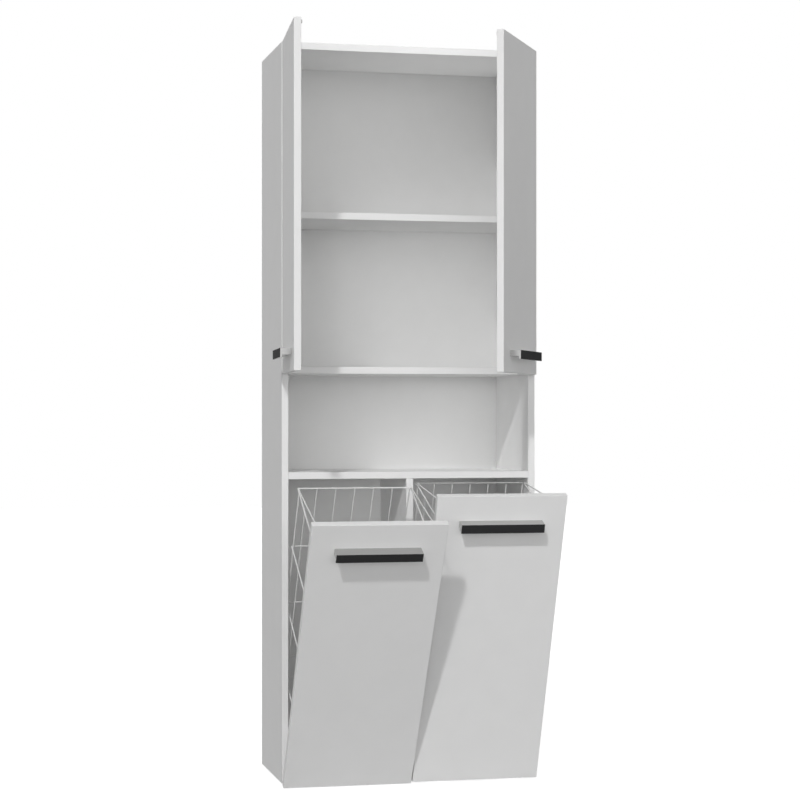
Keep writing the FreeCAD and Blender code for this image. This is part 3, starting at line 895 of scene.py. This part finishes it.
def softBlock(node, directions, look):
    low, high = closedBox(node)
    shape = bmesh.new()
    bmesh.ops.create_cube(shape, size=1.0)
    for vertex in shape.verts:
        vertex.co = [low[k] if vertex.co[k] < 0 else high[k] for k in range(3)]
    edges = []
    for edge in shape.edges:
        run = edge.verts[1].co - edge.verts[0].co
        longest = max(range(3), key=lambda k: abs(run[k]))
        if "xyz"[longest] in directions:
            edges.append(edge)
    soften(shape, edges, look["soften"], look["rounds"])
    return meshFrom(shape, node)


def camPocket(node, low, high, upward, look):
    boardLow, boardHigh = closedBox(node)
    bottom = low.z if upward else boardLow.z - look["overrun"]
    top = boardHigh.z + look["overrun"] if upward else high.z
    radius = (high.y - low.y) / 2
    profile = [(0, bottom), (radius, bottom), (radius, top), (0, top)]
    pocket = turned("pocket", profile, look["pocketSides"])
    middle = (low + high) / 2
    pocket.transform(Matrix.Translation((middle.x, middle.y, 0)))
    return pocket


def makeBoard(node, directions, look):
    mesh = softBlock(node, directions, look)
    for low, high in camPlaces:
        board, upward = boardOfCam(low, high)
        if board == node:
            mesh = cutAway(mesh, camPocket(node, low, high, upward, look))
    name = node.replace("_panel", "") + "_board"
    addPiece(name, banded(mesh), bodyOf[node], [node], node)


for node, directions in boards.items():
    makeBoard(node, directions, boardLook)
print("boards banded:", len(boards))


# doors and tilt-out fronts: the solids as they are, cleared of triangles that have no area
def makeLeaf(body):
    node = body + ("_panel" if body.endswith("_door") else "_front")
    name = body + "_leaf"
    shape = closedShape(node)
    bmesh.ops.dissolve_degenerate(shape, edges=shape.edges[:], dist=shapeSet["weld"])
    addPiece(name, banded(meshFrom(shape, name)), body, [node], node)


for body in joints:
    makeLeaf(body)
print("leaves hung:", len(joints))


# screws: domed heads with a cross, ringed shanks
screwLook = {
    "sides": 28,
    "crossWidth": 0.14,  # shares of the head's radius
    "crossReach": 0.62,
    "crossTop": 1.2,  # shares of the head's height
    "crossDepth": 0.75,
    "taper": 0.55,
    "core": 0.72,  # shares of the shank's radius
    "point": 0.3,
    "tip": 0.003,  # from the point to the first ring
    "pitch": 0.0016,
    "valley": 0.25,  # share of the pitch
    "turnStep": 37,  # degrees
}
headShares = [(1.0, 0.0), (1.0, 0.38), (0.95, 0.62), (0.82, 0.82), (0.58, 0.95), (0.28, 1.0), (0.0, 1.0)]
screwReading = {
    "directionDigits": 2,
    "sizeDigits": 5,
    "rimShare": 0.97,  # points beyond this share of the head's radius are its rim
    "shankShare": 0.9,  # points within this one are the shank
}


def readScrew(points, faces, reading):
    # the axis is the direction that most of the flat area faces, and the head is the widest end
    areas = {}
    for normal, area in faces:
        key = tuple(round(abs(share), reading["directionDigits"]) for share in normal)
        total, direction = areas.get(key, (0.0, normal))
        areas[key] = (total + area, direction)
    axis = max(areas.values(), key=lambda row: row[0])[1].normalized()
    centre = sum(points, Vector()) / len(points)
    rows = []
    for point in points:
        along = (point - centre).dot(axis)
        rows.append((along, ((point - centre) - axis * along).length))
    headRadius = max(radius for along, radius in rows)
    head = [along for along, radius in rows if radius > reading["rimShare"] * headRadius]
    ends = [along for along, radius in rows]
    if max(ends) - max(head) > min(head) - min(ends):
        axis = -axis
        head = [-along for along in head]
        ends = [-along for along in ends]
    shank = max(radius for along, radius in rows if radius < reading["shankShare"] * headRadius)
    sizes = (headRadius, max(head) - min(head), shank, min(head) - min(ends))
    return centre + axis * min(head), axis, tuple(round(size, reading["sizeDigits"]) for size in sizes)


def screwMesh(headRadius, headHeight, shank, length, look):
    core, drop = shank * look["core"], look["pitch"] * look["valley"]
    profile = [(0.0, -length), (shank * look["point"], -length)]
    height = -length + look["tip"]
    while height < -look["pitch"]:
        profile += [(core, height - drop), (shank, height)]
        height += look["pitch"]
    profile += [(core, -drop), (core, 0.0)]
    profile += [(headRadius * wide, headHeight * tall) for wide, tall in headShares]
    width, reach = headRadius * look["crossWidth"], headRadius * look["crossReach"]
    top, bottom = headHeight * look["crossTop"], headHeight * (1 - look["crossDepth"])
    cutter = crossCutter(width, reach, top, bottom, look["taper"])
    return cutAway(turned("screw", profile, look["sides"]), cutter)


def makeScrews(node, look):
    masters, parts = {}, []
    for number, (points, faces) in enumerate(loosePieces(node)):
        seat, outward, sizes = readScrew(points, faces, screwReading)
        if sizes not in masters:
            masters[sizes] = screwMesh(*sizes, look)
        lean = outward.to_track_quat("Z", "Y").to_matrix().to_4x4()
        spin = Matrix.Rotation(math.radians(look["turnStep"] * number), 4, "Z")
        parts.append((masters[sizes], Matrix.Translation(seat) @ lean @ spin))
    name = node.replace("_screws", "_cross_screws")
    print(node, len(parts), "screws,", len(masters), "sizes")
    addPiece(name, shaded(joined(name, parts)), bodyOf[node], [node], node)


for node in nodes:
    if node.endswith("_screws"):
        makeScrews(node, screwLook)
print("screws driven")


# small boxes with grids, each on a few pieces only, which open up the shelves and the bay
gridBoxes = {
    "betweenDoors": {
        "place": (-0.60, -1.75, 1.10),
        "aim": (0.18, 0.13, 1.10),
        "size": 0.35,
        "spread": 22.0,  # degrees
        "power": 0.135,
        "lights": ("upper_back_sheet", "lower_back_sheet", "right_side_board"),
    },
    "underTop": {
        "place": (-0.25, -1.30, 0.50),
        "aim": (0.20, -0.02, 1.68),
        "size": 0.35,
        "spread": 40.0,
        "power": 0.27,
        "lights": ("top_board",),
    },
    "intoBay": {
        "place": (-0.35, -1.90, 0.76),
        "aim": (0.06, 0.13, 0.63),
        "size": 0.20,
        "spread": 12.0,
        "power": 0.03,
        "lights": ("lower_back_sheet",),
    },
}


def makeGridBox(name, look):
    data = bpy.data.lights.new(name, "AREA")
    data.size = look["size"]
    data.spread = math.radians(look["spread"])
    data.energy = look["power"]
    box = bpy.data.objects.new(name, data)
    box.location = look["place"]
    back = Vector(look["place"]) - Vector(look["aim"])
    box.rotation_euler = back.to_track_quat("Z", "Y").to_euler()
    box.visible_camera = False
    box.visible_glossy = False
    lit = bpy.data.collections.new(name)
    for item in look["lights"]:
        lit.objects.link(bpy.data.objects[item])
    box.light_linking.receiver_collection = lit
    scene.collection.objects.link(box)


for name, look in gridBoxes.items():
    makeGridBox(name, look)
print("grid boxes set:", len(gridBoxes))
